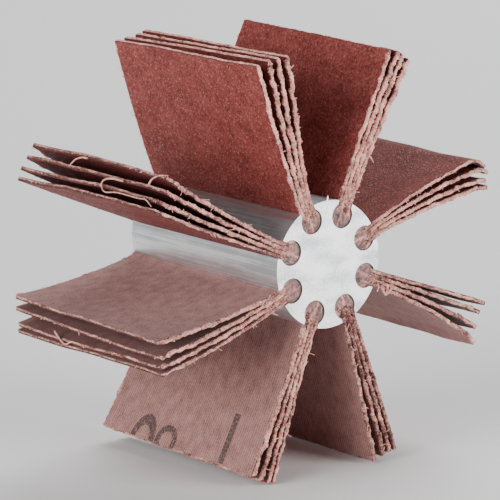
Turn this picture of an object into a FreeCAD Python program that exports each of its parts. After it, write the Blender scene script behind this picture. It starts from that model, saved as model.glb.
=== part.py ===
import FreeCAD, Part
import math
import os

import Sketcher

# A flap bore polisher, in millimetres and degrees. Packs of abrasive-cloth flaps stand in keyhole
# slots round a turned aluminium hub. The hub's axis lies along Y, its front face looks towards -Y,
# and the origin is the mouth of the drive hole in the middle of its rear face. +Z is up.

# The driving sizes: name in the sheet, value, what it measures.
SIZES = (
    ("tool_diameter", 76.2, "across the tips of the flaps"),
    ("hub_diameter", 22.2, "of the bar that the hub is turned from"),
    ("hub_length", 42.2, "from the rear face to the front face"),
    ("rim_chamfer", 0.2, "edge break round both faces of the hub"),
    ("drive_diameter", 5.1, "of the blind hole for the drive thread, as drilled for the tap"),
    ("drive_depth", 16.0, "of the drive hole, down to where its drill point begins"),
    ("drive_point_angle", 118.0, "of the drill point at the end of the drive hole"),
    ("drive_mouth_diameter", 6.6, "of the countersink at the mouth of the drive hole"),
    ("drive_mouth_angle", 120.0, "of that countersink"),
    ("first_slot_angle", 24.9, "of the first slot, counterclockwise from +X, seen from the front"),
    ("slot_lip", 0.9, "from the hub's rim in to the round of a keyhole, along the slot's wall"),
    ("slot_web", 2.2, "of metal left between the rounds of neighbouring slots"),
    ("slot_play", 0.05, "between a pack and each wall of its slot"),
    ("flaps_per_pack", 4, "flaps side by side in one slot"),
    ("flap_thickness", 0.7, "of the cloth with its grit"),
    ("flap_play", 0.05, "between neighbouring flaps in the slot"),
    ("flap_inset", 0.1, "from each face of the hub to the edges of the flaps"),
    ("flap_free_neck", 0.3, "from the hub's rim to where the flaps begin to lean"),
    ("flap_bend_radius", 10.0, "of the last flap of a pack, where it leans out of the slot"),
    ("root_inset", 0.4, "from each face of the hub to the ends of the potted roots"),
    ("root_floor", 1.4, "from the bottom of a keyhole's round out to the ends of the flaps"),
)

# How the flaps of each pack stand, as used: how far the first and the last flap trail behind their
# slot, and how far they bow on their way to the tip. Packs are numbered counterclockwise from the
# right, seen from the front, and flaps from the leading side of their pack, which has the grit.
STANCE_NAMES = ("first_lean", "last_lean", "first_bow", "last_bow")
STANCES = (
    (1.5, 8.0, 14.0, 8.0),
    (3.0, 7.0, 2.0, 3.0),
    (3.0, 13.0, 6.0, 4.0),
    (1.5, 8.5, 3.0, 5.5),
    (1.0, 9.0, 11.0, 8.0),
    (0.3, 2.0, 1.0, 7.0),
    (2.5, 7.5, 4.0, 3.0),
    (0.5, 4.0, 2.0, 11.0),
)

# Sizes that follow from the driving ones. Across a slot, distances count from its middle plane, and
# along it from the hub's axis. The round of a keyhole is the one circle that meets the slot's walls
# at the lip and leaves the web between it and its neighbour.
TIP_RADIUS = "Sizes.tool_diameter / 2"
HUB_RADIUS = "Sizes.hub_diameter / 2"
FLAP_PITCH = "(Sizes.flap_thickness + Sizes.flap_play)"
SLOT_WIDTH = f"(Sizes.flaps_per_pack * {FLAP_PITCH} - Sizes.flap_play + 2 * Sizes.slot_play)"
LIP_END = f"({HUB_RADIUS} - Sizes.slot_lip)"
HALF_PITCH = "180 / Sizes.slot_count"
WEB_REACH = f"({LIP_END} - sin({HALF_PITCH}) * Sizes.slot_web / 2)"
LIP_REACH = f"(pow({LIP_END}; 2) + pow({SLOT_WIDTH} / 2; 2) - pow(Sizes.slot_web / 2; 2))"
LIP_SHARE = f"sqrt(pow({WEB_REACH}; 2) - pow(cos({HALF_PITCH}); 2) * {LIP_REACH})"
ROUND_CENTRE = f"(({WEB_REACH} - {LIP_SHARE}) / pow(cos({HALF_PITCH}); 2))"
ROUND_RADIUS = f"({ROUND_CENTRE} * sin({HALF_PITCH}) - Sizes.slot_web / 2)"
ROOT_END = f"({ROUND_CENTRE} - {ROUND_RADIUS} + Sizes.root_floor)"
NECK_END = f"({HUB_RADIUS} + Sizes.flap_free_neck)"

# The ends of a line or an arc, and its centre, as a constraint numbers them, and the sketch's own
# origin and X axis.
START, END, CENTRE = 1, 2, 3
ORIGIN = (-1, 1)
X_AXIS = -1

QUARTER_TURN = 90
FULL_TURN = 360


def fill_sheet(doc):
    """Writes the driving sizes to the sheet, one row each, and names their cells."""
    sheet = doc.addObject("Spreadsheet::Sheet", "Sizes")
    stances = [
        (f"pack_{pack}_{name}", value, "of the flaps of this pack")
        for pack, stance in enumerate(STANCES, 1)
        for name, value in zip(STANCE_NAMES, stance)
    ]
    slots = ("slot_count", len(STANCES), "slots round the hub, one for each pack")
    for row, (name, value, meaning) in enumerate((*SIZES, slots, *stances), 1):
        sheet.set(f"A{row}", name)
        sheet.set(f"B{row}", str(value))
        sheet.setAlias(f"B{row}", name)
        sheet.set(f"C{row}", meaning)
    doc.recompute()
    return sheet


def new_body(doc, name, slot_angle="0"):
    """Adds a body whose own Z runs forwards along the hub and whose own X points along a slot."""
    body = doc.addObject("PartDesign::Body", name)
    body.Label = name
    forwards = f"create(<<rotation>>; create(<<vector>>; 1; 0; 0); {QUARTER_TURN})"
    round_axis = f"create(<<rotation>>; create(<<vector>>; 0; 0; 1); {slot_angle})"
    at_origin = "create(<<vector>>; 0; 0; 0)"
    placement = f"create(<<placement>>; {at_origin}; {forwards} * {round_axis})"
    body.setExpression("Placement", placement)
    return body


def slot_angle(pack):
    return f"Sizes.first_slot_angle + {pack - 1} * {FULL_TURN} / Sizes.slot_count"


def origin_feature(body, role):
    return next(f for f in body.Origin.OriginFeatures if f.Role == role)


def new_sketch(body, name, start="0"):
    """Adds a sketch across the hub's axis, at a distance in front of the rear face."""
    sketch = body.newObject("Sketcher::SketchObject", name)
    sketch.AttachmentSupport = (origin_feature(body, "XY_Plane"), [""])
    sketch.MapMode = "FlatFace"
    sketch.setExpression(".AttachmentOffset.Base.z", start)
    return sketch


def point(x, y):
    return FreeCAD.Vector(x, y, 0)


def polar(radius, angle):
    return point(radius * math.cos(math.radians(angle)), radius * math.sin(math.radians(angle)))


def circle_at(centre, radius):
    return Part.Circle(centre, FreeCAD.Vector(0, 0, 1), radius)


def line(sketch, start, end):
    return sketch.addGeometry(Part.LineSegment(start, end))


def arc(sketch, centre, radius, from_angle, to_angle):
    """Adds an arc that runs counterclockwise between two angles."""
    span = math.radians(from_angle), math.radians(to_angle)
    return sketch.addGeometry(Part.ArcOfCircle(circle_at(centre, radius), *span))


def tie(sketch, kind, *places):
    """Adds a constraint that has no value."""
    sketch.addConstraint(Sketcher.Constraint(kind, *places))


def fix(sketch, expression, kind, *places):
    """Adds a constraint whose value follows the sheet."""
    value = sketch.evalExpression(expression)
    if kind == "Angle":
        value = math.radians(value)
    index = sketch.addConstraint(Sketcher.Constraint(kind, *places, value))
    sketch.setExpression(f"Constraints[{index}]", expression)


def bridge(sketch, first, first_end, second, second_end):
    """Adds a line from an end of one edge to an end of another."""
    between = line(sketch, sketch.getPoint(first, first_end), sketch.getPoint(second, second_end))
    tie(sketch, "Coincident", between, START, first, first_end)
    tie(sketch, "Coincident", between, END, second, second_end)
    return between


def draw_circle(sketch, radius_expression):
    """Adds a circle round the hub's axis."""
    radius = sketch.evalExpression(radius_expression)
    circle = sketch.addGeometry(circle_at(point(0, 0), radius))
    tie(sketch, "Coincident", circle, CENTRE, *ORIGIN)
    fix(sketch, radius_expression, "Radius", circle)


def draw_keyhole(sketch, radius_expression, slot_end):
    """Draws a round with a slot of the pack's width that leads out of it or into it, along X."""
    centre_x = sketch.evalExpression(ROUND_CENTRE)
    radius = sketch.evalExpression(radius_expression)
    half_width = sketch.evalExpression(SLOT_WIDTH) / 2
    end_x = sketch.evalExpression(slot_end)
    lip_angle = math.degrees(math.asin(half_width / radius))
    around = arc(sketch, point(centre_x, 0), radius, lip_angle, FULL_TURN - lip_angle)
    walls = []
    for end, side in ((START, 1), (END, -1)):
        wall = line(sketch, sketch.getPoint(around, end), point(end_x, side * half_width))
        tie(sketch, "Coincident", wall, START, around, end)
        tie(sketch, "Horizontal", wall)
        walls.append(wall)
    across = bridge(sketch, walls[0], END, walls[1], END)
    tie(sketch, "Vertical", across)
    tie(sketch, "PointOnObject", around, CENTRE, X_AXIS)
    tie(sketch, "Symmetric", around, START, around, END, X_AXIS)
    fix(sketch, ROUND_CENTRE, "DistanceX", *ORIGIN, around, CENTRE)
    fix(sketch, radius_expression, "Radius", around)
    fix(sketch, SLOT_WIDTH, "DistanceY", around, END, around, START)
    fix(sketch, slot_end, "DistanceX", *ORIGIN, across, START)


def new_pad(body, sketch, name, inset="0"):
    """Pads a sketch along the hub, as long as the hub less an inset at each end."""
    pad = body.newObject("PartDesign::Pad", name)
    pad.Profile = sketch
    pad.setExpression("Length", f"Sizes.hub_length - 2 * {inset}")
    return pad


def make_hub(doc):
    """A turned bar with its edges broken, slotted all round and drilled for the drive thread."""
    body = new_body(doc, "hub")
    outline = new_sketch(body, "bar_outline")
    draw_circle(outline, HUB_RADIUS)
    bar = new_pad(body, outline, "bar")
    doc.recompute()
    break_rims(body, bar)
    cut_slots(doc, body)
    drill_drive_hole(doc, body)
    return body


def break_rims(body, bar):
    rims = [f"Edge{n}" for n, edge in enumerate(bar.Shape.Edges, 1) if edge.isClosed()]
    chamfer = body.newObject("PartDesign::Chamfer", "rim_break")
    chamfer.Base = (bar, rims)
    chamfer.setExpression("Size", "Sizes.rim_chamfer")


def cut_slots(doc, body):
    """Cuts one keyhole slot through the whole bar and repeats it round the axis."""
    outline = new_sketch(body, "keyhole_outline")
    outline.setExpression(".AttachmentOffset.Rotation.Angle", slot_angle(1))
    draw_keyhole(outline, ROUND_RADIUS, "Sizes.hub_diameter")
    slot = body.newObject("PartDesign::Pocket", "keyhole_slot")
    slot.Profile = outline
    slot.Type = "ThroughAll"
    slot.Reversed = True
    slots = body.newObject("PartDesign::PolarPattern", "keyhole_slots")
    slots.Originals = [slot]
    slots.Axis = (origin_feature(body, "Z_Axis"), [""])
    slots.Angle = FULL_TURN
    slots.setExpression("Occurrences", "Sizes.slot_count")
    body.Tip = slots
    doc.recompute()


def drill_drive_hole(doc, body):
    """Drills the blind hole for the drive thread into the rear face."""
    mark = new_sketch(body, "drive_mark")
    draw_circle(mark, "Sizes.drive_diameter / 2")
    drive = body.newObject("PartDesign::Hole", "drive_hole")
    drive.Profile = mark
    doc.recompute()
    drive.Reversed = True
    drive.DepthType = "Dimension"
    drive.DrillPoint = "Angled"
    drive.HoleCutType = "Countersink"
    drive.HoleCutCustomValues = True
    drive.setExpression("Diameter", "Sizes.drive_diameter")
    drive.setExpression("Depth", "Sizes.drive_depth")
    drive.setExpression("DrillPointAngle", "Sizes.drive_point_angle")
    drive.setExpression("HoleCutDiameter", "Sizes.drive_mouth_diameter")
    drive.setExpression("HoleCutCountersinkAngle", "Sizes.drive_mouth_angle")
    body.Tip = drive


def make_root(doc, pack):
    """The potted root of a pack: it fills the round of the keyhole and grips the flaps' ends."""
    name = f"pack_{pack}_root"
    body = new_body(doc, name, slot_angle(pack))
    outline = new_sketch(body, f"{name}_outline", "Sizes.root_inset")
    draw_keyhole(outline, f"{ROUND_RADIUS} - Sizes.slot_play", f"{ROOT_END} - Sizes.slot_play")
    new_pad(body, outline, f"{name}_pad", "Sizes.root_inset")
    return body


def make_flap(doc, pack, flap):
    """One flap: straight through its slot, then leaning back and bowing to the tool's diameter."""
    name = f"pack_{pack}_flap_{flap}"
    body = new_body(doc, name, slot_angle(pack))
    section = new_sketch(body, f"{name}_section", "Sizes.flap_inset")
    lean, bow = (between_flaps(pack, flap, size) for size in ("lean", "bow"))
    flaps_behind = f"(Sizes.flaps_per_pack - {flap})"
    cloth_height = f"({flaps_behind} * {FLAP_PITCH} + Sizes.slot_play - {SLOT_WIDTH} / 2)"
    cloth_radius = f"(Sizes.flap_bend_radius + {flaps_behind} * {FLAP_PITCH})"
    grit_height, grit_radius = (f"{s} + Sizes.flap_thickness" for s in (cloth_height, cloth_radius))

    cloth_neck, cloth_lean, cloth_bow = flap_side(section, cloth_height, cloth_radius, lean, bow)
    grit_neck, grit_lean, grit_bow = flap_side(section, grit_height, grit_radius, lean, bow)
    root_end = bridge(section, cloth_neck, START, grit_neck, START)
    tip = bridge(section, cloth_bow, START, grit_bow, START)
    tie(section, "Vertical", root_end)
    tie(section, "Coincident", cloth_lean, CENTRE, grit_lean, CENTRE)
    tie(section, "Coincident", cloth_bow, CENTRE, grit_bow, CENTRE)
    fix(section, ROOT_END, "DistanceX", *ORIGIN, root_end, END)
    fix(section, NECK_END, "DistanceX", *ORIGIN, grit_neck, END)
    fix(section, grit_height, "DistanceY", *ORIGIN, root_end, END)
    fix(section, "Sizes.flap_thickness", "Distance", root_end)
    fix(section, grit_radius, "Radius", grit_lean)
    fix(section, lean, "Angle", grit_lean)
    fix(section, TIP_RADIUS, "Distance", *ORIGIN, tip, END)
    new_pad(body, section, f"{name}_pad", "Sizes.flap_inset")
    return body


def between_flaps(pack, flap, size):
    """A flap's share of what the first and the last flap of its pack have."""
    first, last = f"Sizes.pack_{pack}_first_{size}", f"Sizes.pack_{pack}_last_{size}"
    return f"({first} + ({last} - {first}) * {flap - 1} / (Sizes.flaps_per_pack - 1))"


def flap_side(sketch, height_expression, radius_expression, lean_expression, bow_expression):
    """Draws one side of a flap: its neck, the arc where it leans and the long arc of its bow."""
    height = sketch.evalExpression(height_expression)
    radius = sketch.evalExpression(radius_expression)
    bow = sketch.evalExpression(bow_expression)
    neck_x = sketch.evalExpression(NECK_END)
    lean_angle = QUARTER_TURN - sketch.evalExpression(lean_expression)
    neck = line(sketch, point(sketch.evalExpression(ROOT_END), height), point(neck_x, height))
    leaning = arc(sketch, point(neck_x, height - radius), radius, lean_angle, QUARTER_TURN)
    lean_end = sketch.getPoint(leaning, START)
    bow_radius = (sketch.evalExpression(TIP_RADIUS) - lean_end.x) / math.radians(bow)
    bow_centre = lean_end - polar(bow_radius, lean_angle)
    bowing = arc(sketch, bow_centre, bow_radius, lean_angle - bow, lean_angle)
    tie(sketch, "Horizontal", neck)
    tie(sketch, "Tangent", neck, END, leaning, END)
    tie(sketch, "Tangent", leaning, START, bowing, END)
    fix(sketch, bow_expression, "Angle", bowing)
    return neck, leaning, bowing


def check(doc, bodies):
    """Stops if an object has failed or a body isn't one sound solid."""
    for item in doc.Objects:
        if "Invalid" in item.State or "Error" in item.State:
            raise ValueError(f"{item.Label} has failed: {item.State}")
    for body in bodies:
        shape = body.Shape
        if shape.isNull() or not shape.isValid() or len(shape.Solids) != 1:
            raise ValueError(f"{body.Label} isn't one sound solid")


def main():
    doc = FreeCAD.newDocument("flap_bore_polisher")
    sheet = fill_sheet(doc)
    bodies = [make_hub(doc)]
    for pack in range(1, int(sheet.slot_count) + 1):
        bodies.append(make_root(doc, pack))
        for flap in range(1, int(sheet.flaps_per_pack) + 1):
            bodies.append(make_flap(doc, pack, flap))
    doc.recompute()
    check(doc, bodies)
    os.makedirs("parts", exist_ok=True)
    for body in bodies:
        body.Shape.exportStep(f"parts/{body.Label}.step")
        print(f"{body.Label}: {body.Shape.Volume:.1f} mm3")


main()
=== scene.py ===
import math
import random

import bpy
import numpy as np
from mathutils import Matrix, Vector, noise


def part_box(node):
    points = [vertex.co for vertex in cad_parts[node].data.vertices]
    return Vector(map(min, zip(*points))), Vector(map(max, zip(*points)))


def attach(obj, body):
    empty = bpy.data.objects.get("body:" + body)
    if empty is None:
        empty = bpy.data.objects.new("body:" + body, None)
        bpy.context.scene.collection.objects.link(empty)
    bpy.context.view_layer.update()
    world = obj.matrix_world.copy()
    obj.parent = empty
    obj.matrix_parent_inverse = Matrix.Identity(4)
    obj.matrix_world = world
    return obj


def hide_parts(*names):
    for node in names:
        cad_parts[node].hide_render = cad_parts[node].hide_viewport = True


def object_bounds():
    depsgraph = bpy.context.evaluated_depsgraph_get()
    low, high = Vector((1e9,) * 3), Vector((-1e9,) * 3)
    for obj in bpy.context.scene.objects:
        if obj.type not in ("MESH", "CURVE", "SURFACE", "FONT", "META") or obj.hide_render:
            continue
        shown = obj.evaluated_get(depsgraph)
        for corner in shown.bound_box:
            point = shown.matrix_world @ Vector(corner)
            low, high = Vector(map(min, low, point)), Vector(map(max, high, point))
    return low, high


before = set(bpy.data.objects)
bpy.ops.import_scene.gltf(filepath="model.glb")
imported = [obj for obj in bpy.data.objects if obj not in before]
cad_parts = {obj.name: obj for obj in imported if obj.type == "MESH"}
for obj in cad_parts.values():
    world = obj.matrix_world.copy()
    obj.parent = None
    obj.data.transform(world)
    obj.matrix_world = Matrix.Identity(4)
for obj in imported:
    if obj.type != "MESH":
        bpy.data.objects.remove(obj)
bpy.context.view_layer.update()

MM = 0.001


# The hub is a short length of drawn aluminium bar, faced at both ends. Eight keyhole slots run
# right along it to hold the packs of flaps, and its rear end is drilled and tapped for the drive.

HUB_RADIUS = 11.1 * MM
HUB_FRONT, HUB_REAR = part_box("hub")[0].y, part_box("hub")[1].y
HUB_SIDES = 288
RIM_BREAK = 0.2 * MM
EDGE_BREAK = 0.05 * MM
BREAK_STEPS = 2

# How sharp an edge has to be, in degrees, to be broken and to be shaded as one.
BROKEN_FROM, SHADED_FROM = 50, 20

# How squarely a face of an end looks along the axis.
SQUARE = 0.9

PACKS = 8
FIRST_SLOT = math.radians(24.9)
SLOT_WIDTH = 3.05 * MM
SLOT_OVERRUN = 2 * MM
ROUND_CENTRE = 8.617 * MM
ROUND_RADIUS = 2.198 * MM
ROUND_SIDES = 64

# The drive hole, whose point narrows to a share of its width, and its countersunk mouth. Both
# cutters start outside the rear face.
DRILL_DEPTH = 16 * MM
DRILL_POINT = 1.5 * MM
DRILL_POINT_SHARE = 0.02
DRILL_OVERRUN = 1 * MM
MOUTH_RADIUS = 6.6 * MM / 2
MOUTH_DEPTH = 0.7 * MM
MOUTH_SLOPE = math.tan(math.radians(60))

# Its thread, and the tap's tooth: half its width at its base and crest, as shares of the pitch,
# and how far the base lies within the wall.
DRIVE_MAJOR = 6.35 * MM
DRIVE_MINOR = 5.1 * MM
DRIVE_PITCH = 1.27 * MM
DRIVE_TURNS = 12
DRIVE_STEPS_A_TURN = 48
TOOTH_BASE, TOOTH_CREST, TOOTH_OVERLAP = 0.44, 0.06, 0.1 * MM

# The burr on the front rim: its place and size, how far it is set back and sunk in, and how much
# it narrows, flattens and leans.
NUB_ANGLE = math.radians(91.2)
NUB_SIDES = 9
NUB_RADIUS, NUB_HEIGHT = 0.38 * MM, 1.1 * MM
NUB_BACK, NUB_SUNK = 0.266 * MM, 0.33 * MM
NUB_POINT, NUB_FLATNESS, NUB_LEAN = 0.3, 0.6, 0.4

ALUMINIUM_BRIGHT = (0.95, 0.95, 0.95, 1)
ALUMINIUM = (0.86, 0.88, 0.90, 1)
ALUMINIUM_DULL = (0.54, 0.555, 0.58, 1)
ALUMINIUM_DEEP = (0.36, 0.36, 0.38, 1)

# The sizes and depths of the marks on the drawn skin, the faced ends and the cut walls.
SKIN_LINE, SKIN_STREAK, SKIN_PATCH, SKIN_RELIEF = 0.32 * MM, 0.9 * MM, 5 * MM, 0.015 * MM
FACE_RING, FACE_GRAIN, FACE_BAND, FACE_RELIEF = 0.05 * MM, 0.35 * MM, 7 * MM, 0.0015 * MM
CUTTER_MARK, CUT_RELIEF = 0.2 * MM, 0.02 * MM

# Which of the hub's materials are on its faced ends and on its cut walls.
FACED_MATERIAL, CUT_MATERIAL = 1, 2


def turn(angle):
    """A turn about the hub's axis, from +X up towards +Z."""
    return Matrix.Rotation(-angle, 4, "Y")


def slot_turn(pack):
    return turn(FIRST_SLOT + (pack - 1) * 2 * math.pi / PACKS)


def only(piece):
    """Makes a piece the only one selected, and active."""
    bpy.ops.object.select_all(action="DESELECT")
    piece.select_set(True)
    bpy.context.view_layer.objects.active = piece


def pick_faces(piece, test):
    """Starts editing, with the faces selected whose middle and normal pass the test."""
    only(piece)
    bpy.ops.object.mode_set(mode="EDIT")
    bpy.ops.mesh.select_all(action="DESELECT")
    bpy.ops.object.mode_set(mode="OBJECT")
    for face in piece.data.polygons:
        face.select = bool(test(face.center, face.normal))
    bpy.ops.object.mode_set(mode="EDIT")
    bpy.ops.mesh.select_mode(type="FACE")


def close_up(piece):
    """Ends editing."""
    bpy.ops.object.mode_set(mode="OBJECT")
    return piece


def settle(piece, place=None):
    """Puts a piece's place into its mesh, and may move the mesh on from there."""
    only(piece)
    bpy.ops.object.transform_apply(location=True, rotation=True, scale=True)
    if place is not None:
        piece.data.transform(place)
    return piece


def add(name, primitive, **settings):
    """Adds one of Blender's primitives, with nothing else selected."""
    bpy.ops.object.select_all(action="DESELECT")
    primitive(**settings)
    piece = bpy.context.object
    piece.name = name
    return piece


def bar(name, radius, front, rear, sides, front_radius=None):
    """A round bar along the hub's axis, which may taper towards its front."""
    return settle(add(
        name, bpy.ops.mesh.primitive_cone_add, vertices=sides, radius1=radius,
        radius2=radius if front_radius is None else front_radius, depth=rear - front,
        location=(0, (front + rear) / 2, 0), rotation=(math.pi / 2, 0, 0),
    ))


def block(name, low, high):
    """A box between two corners."""
    low, high = Vector(low), Vector(high)
    return settle(add(
        name, bpy.ops.mesh.primitive_cube_add, size=1, location=(low + high) / 2, scale=high - low,
    ))


def join(pieces):
    """Joins pieces into the first one."""
    only(pieces[0])
    for piece in pieces:
        piece.select_set(True)
    bpy.ops.object.join()
    return pieces[0]


def apply_modifier(piece, kind, **settings):
    only(piece)
    modifier = piece.modifiers.new(kind.title(), kind)
    for name, value in settings.items():
        setattr(modifier, name, value)
    bpy.ops.object.modifier_apply(modifier=modifier.name)


def cut(piece, tool, operation="DIFFERENCE"):
    """Cuts a tool's shape out of a piece, or adds it, and throws the tool away."""
    apply_modifier(piece, "BOOLEAN", object=tool, operation=operation, solver="EXACT")
    bpy.data.objects.remove(tool)


def shade_smooth(piece, degrees):
    """Shades a piece smooth, apart from the edges that turn by more than an angle."""
    only(piece)
    bpy.ops.object.shade_smooth_by_angle(angle=math.radians(degrees))


def new_material(name):
    material = bpy.data.materials.new(name)
    material.use_nodes = True
    material.node_tree.nodes.clear()
    return material


def node(owner, kind, inputs=(), **settings):
    """Adds a node to a material, or to the one that has an output. An input is given a value, or
    the output of another node."""
    tree = getattr(owner, "node_tree", None) or owner.id_data
    made = tree.nodes.new("ShaderNode" + kind)
    for name, value in settings.items():
        setattr(made, name, value)
    for name, value in dict(inputs).items():
        if isinstance(value, bpy.types.NodeSocket):
            tree.links.new(value, made.inputs[name])
        else:
            made.inputs[name].default_value = value
    return made


def calculate(operation, *values):
    return node(values[0], "Math", dict(enumerate(values)), operation=operation).outputs[0]


def calculate_vector(operation, *vectors):
    made = node(vectors[0], "VectorMath", dict(enumerate(vectors)), operation=operation)
    return made.outputs["Value" if operation == "LENGTH" else "Vector"]


def blend(*parts):
    """Adds up values, each times its share."""
    total = 0
    for value, share in parts:
        total = calculate("MULTIPLY_ADD", value, share, total)
    return total


def product(first, second):
    return calculate("MULTIPLY", first, second)


def ramp(factor, stops):
    """Adds a colour ramp through stops of place and colour."""
    made = node(factor, "ValToRGB", {"Fac": factor})
    elements = made.color_ramp.elements
    elements[0].position, elements[0].color = stops[0]
    elements[1].position, elements[1].color = stops[-1]
    for place, colour in stops[1:-1]:
        elements.new(place).color = colour
    return made.outputs["Color"]


def grey(value):
    return (value, value, value, 1)


def noise_at(place, size, detail=2.0, stretch=(1, 1, 1)):
    """Noise with features of a size, which a stretch draws out along an axis."""
    scale = [1 / (size * s) for s in stretch]
    mapped = node(place, "Mapping", {"Vector": place, "Scale": scale})
    made = node(place, "TexNoise", {"Vector": mapped.outputs[0], "Scale": 1.0, "Detail": detail})
    return made.outputs["Fac"]


def bump(height, depth, strength=1.0):
    made = node(height, "Bump", {"Height": height, "Distance": depth, "Strength": strength})
    return made.outputs[0]


def object_place(material):
    return node(material, "TexCoord").outputs["Object"]


def surface(material, **inputs):
    """Adds the shader and joins it to the output."""
    named = {name.replace("_", " "): value for name, value in inputs.items()}
    shader = node(material, "BsdfPrincipled", named)
    node(material, "OutputMaterial", {"Surface": shader.outputs[0]})
    return material


def drawn_aluminium():
    """The bar's skin: bright, with long fine draw lines and dull patches."""
    material = new_material("drawn_aluminium")
    place = object_place(material)
    lines = noise_at(place, SKIN_LINE, detail=3.0, stretch=(1, 60, 1))
    streaks = noise_at(place, SKIN_STREAK, stretch=(1, 30, 1))
    patches = noise_at(place, SKIN_PATCH)
    tone = blend((lines, 0.6), (streaks, 0.72), (patches, 0.3))
    colour = ramp(tone, [(0.67, ALUMINIUM_DULL), (0.85, ALUMINIUM)])
    rough = ramp(streaks, [(0.35, grey(0.50)), (0.65, grey(0.37))])
    normal = bump(blend((lines, 1.0), (streaks, 1.5)), SKIN_RELIEF)
    return surface(material, Base_Color=colour, Metallic=1.0, Roughness=rough, Normal=normal)


def faced_aluminium():
    """The faced ends: bright satin, with faint rings from the facing tool and soft flat bands."""
    material = new_material("faced_aluminium")
    place = object_place(material)
    across_axis = calculate_vector("MULTIPLY", place, (1, 0, 1))
    radius = calculate_vector("LENGTH", across_axis)
    rings = calculate("SINE", product(radius, 1 / FACE_RING))
    grain = noise_at(place, FACE_GRAIN, detail=3.0)
    bands = noise_at(place, FACE_BAND, detail=1.0, stretch=(1, 1, 0.5))
    tone = blend((grain, 0.35), (bands, 0.65))
    colour = ramp(tone, [(0.36, ALUMINIUM_DULL), (0.56, ALUMINIUM_BRIGHT)])
    normal = bump(blend((rings, 0.3), (grain, 1.0)), FACE_RELIEF)
    return surface(material, Base_Color=colour, Metallic=1.0, Roughness=0.42, Normal=normal)


def cut_aluminium():
    """The walls of the slots and the drive hole: duller, with cross marks from the cutter."""
    material = new_material("cut_aluminium")
    marks = noise_at(object_place(material), CUTTER_MARK, detail=3.0, stretch=(4, 1, 4))
    colour = ramp(marks, [(0.3, ALUMINIUM_DEEP), (0.7, ALUMINIUM_DULL)])
    normal = bump(marks, CUT_RELIEF)
    return surface(material, Base_Color=colour, Metallic=1.0, Roughness=0.45, Normal=normal)


def keyhole_cutter(pack):
    """A bar for the round of one keyhole with a block for its slot, longer than the hub."""
    front, rear = HUB_FRONT - SLOT_OVERRUN, HUB_REAR + SLOT_OVERRUN
    cutter = bar("cutter", ROUND_RADIUS, front, rear, ROUND_SIDES)
    cutter.data.transform(Matrix.Translation((ROUND_CENTRE, 0, 0)))
    low = (ROUND_CENTRE, front, -SLOT_WIDTH / 2)
    high = (HUB_RADIUS + SLOT_OVERRUN, rear, SLOT_WIDTH / 2)
    cut(cutter, block("slot", low, high), "UNION")
    cutter.data.transform(slot_turn(pack))
    return cutter


def thread_cutter():
    """The tap's cut: one long helical tooth, which runs in from outside the rear face."""
    tooth = add("tooth", bpy.ops.mesh.primitive_circle_add, vertices=4, fill_type="NOTHING")
    base, crest = DRIVE_MINOR / 2 - TOOTH_OVERLAP, DRIVE_MAJOR / 2
    corners = (
        (base, -TOOTH_BASE), (crest, -TOOTH_CREST), (crest, TOOTH_CREST), (base, TOOTH_BASE),
    )
    start = DRIVE_PITCH - DRIVE_TURNS * DRIVE_PITCH
    for vertex, (from_axis, share) in zip(tooth.data.vertices, corners):
        vertex.co = (from_axis, start + share * DRIVE_PITCH, 0)
    settle(tooth)
    apply_modifier(
        tooth, "SCREW", axis="Y", screw_offset=DRIVE_PITCH, iterations=DRIVE_TURNS,
        steps=DRIVE_STEPS_A_TURN, render_steps=DRIVE_STEPS_A_TURN, use_smooth_shade=False,
    )
    only(tooth)
    bpy.ops.object.mode_set(mode="EDIT")
    bpy.ops.mesh.select_mode(type="EDGE")
    bpy.ops.mesh.select_all(action="DESELECT")
    bpy.ops.mesh.select_non_manifold()
    bpy.ops.mesh.edge_face_add()
    bpy.ops.mesh.select_all(action="SELECT")
    bpy.ops.mesh.normals_make_consistent(inside=False)
    return close_up(tooth)


def cut_drive_hole(hub):
    """Drills the hub from its rear, countersinks the mouth and taps the hole."""
    drill = bar("drill", DRIVE_MINOR / 2, -DRILL_DEPTH, DRILL_OVERRUN, ROUND_SIDES)
    pick_faces(drill, lambda middle, normal: normal.y < -SQUARE)
    bpy.ops.mesh.extrude_region_move(TRANSFORM_OT_translate={"value": (0, -DRILL_POINT, 0)})
    bpy.ops.transform.resize(value=(DRILL_POINT_SHARE, 1, DRILL_POINT_SHARE))
    cut(hub, close_up(drill))
    cut(hub, bar(
        "countersink", MOUTH_RADIUS + DRILL_OVERRUN * MOUTH_SLOPE, -MOUTH_DEPTH, DRILL_OVERRUN,
        ROUND_SIDES, MOUTH_RADIUS - MOUTH_DEPTH * MOUTH_SLOPE,
    ))
    cut(hub, thread_cutter())


def burr_nub():
    """A small burr that the facing tool left on the front rim."""
    nub = add(
        "burr", bpy.ops.mesh.primitive_cone_add, vertices=NUB_SIDES, radius1=NUB_RADIUS,
        radius2=NUB_POINT * NUB_RADIUS, depth=NUB_HEIGHT,
    )
    for vertex in nub.data.vertices:
        vertex.co.y *= NUB_FLATNESS
        vertex.co.x += NUB_LEAN * max(vertex.co.z, 0)
    nub.location = (0, HUB_FRONT + NUB_BACK, HUB_RADIUS + NUB_HEIGHT / 2 - NUB_SUNK)
    return settle(nub, turn(NUB_ANGLE - math.pi / 2))


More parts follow.
